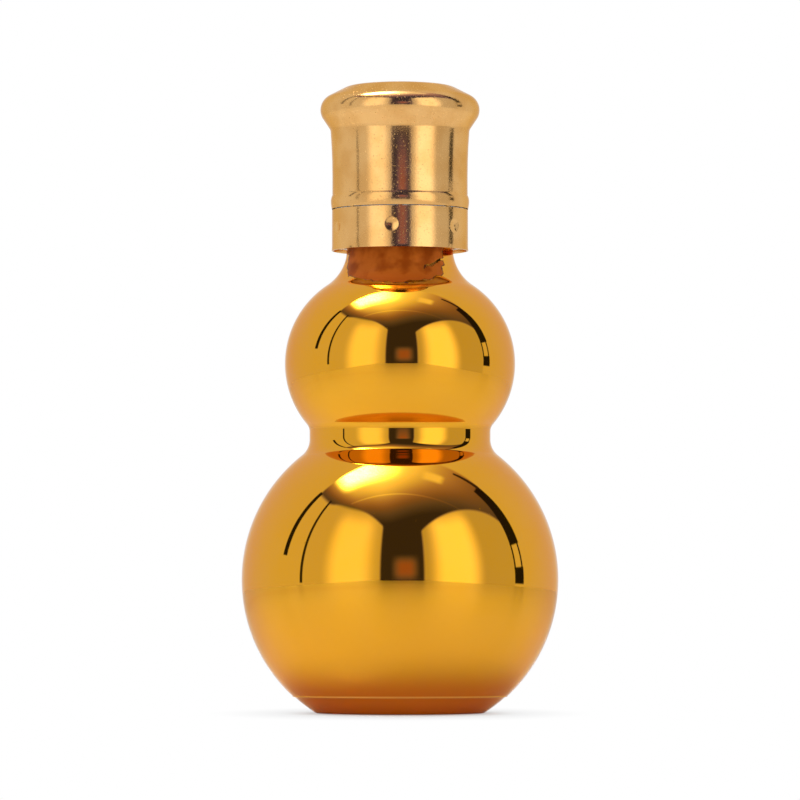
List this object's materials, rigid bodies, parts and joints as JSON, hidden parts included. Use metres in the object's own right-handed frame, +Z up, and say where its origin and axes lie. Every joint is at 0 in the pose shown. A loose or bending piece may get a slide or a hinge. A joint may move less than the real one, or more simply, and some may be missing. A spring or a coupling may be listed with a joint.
{
  "type": "double gourd glass bottle",
  "caption": "Double gourd liquor bottle in gold-plated glass, with a drawn metal screw cap, a crimped tamper band and a plastic pourer with a refill stop.",
  "frame": {"origin": "centre of the ring that the bottle stands on, at table level", "axes": "+Z up the bottle's axis, -Y towards the viewer of the picture"},
  "size_m": [0.0632, 0.0632, 0.1262],
  "materials": {
    "plated_glass": "mirror gold plating over blown glass, opaque",
    "cap_metal": "bright champagne gold lacquer over drawn sheet, faintly mottled",
    "band_metal": "bright champagne gold lacquer over drawn sheet, crimped",
    "inner_cap_plastic": "moulded, semi-gloss white",
    "liner_foam": "soft closed foam, matt",
    "pourer_plastic": "moulded, natural white, slightly waxy",
    "seal_rubber": "soft, matt",
    "valve_plastic": "moulded, slightly see-through white",
    "disc_plastic": "moulded, pale blue-white",
    "ball_glass": "clear polished glass"
  },
  "bodies": {
    "bottle_and_pourer": {"bottle": "plated_glass", "tamper_band": "band_metal", "pourer_body": "pourer_plastic", "neck_seal": "seal_rubber", "valve_seat": "valve_plastic", "ball_cage": "valve_plastic"},
    "seal": {"cap_liner": "liner_foam"},
    "cap": {"cap_shell": "cap_metal", "inner_cap": "inner_cap_plastic"},
    "stop_disc": {"valve_disc": "disc_plastic"},
    "stop_ball": {"glass_ball": "ball_glass"}
  },
  "joints": [
    {"name": "cap_lift", "type": "slide", "parent": "bottle_and_pourer", "child": "seal", "axis": [0, 0, 1], "range_m": [0, 0.02]},
    {"name": "cap_turn", "type": "hinge", "parent": "seal", "child": "cap", "pos_m": [0, 0, 0.112], "axis": [0, 0, 1], "range_deg": [0, 1440]},
    {"name": "disc_lift", "type": "slide", "parent": "bottle_and_pourer", "child": "stop_disc", "axis": [0, 0, 1], "range_m": [0, 0.0015]},
    {"name": "ball_lift", "type": "slide", "parent": "stop_disc", "child": "stop_ball", "axis": [0, 0, 1], "range_m": [0, 0.0007]}
  ],
  "couplings": [
    {"joint": "cap_lift", "follows": "cap_turn", "m_per_rad": 0.00079577}
  ]
}
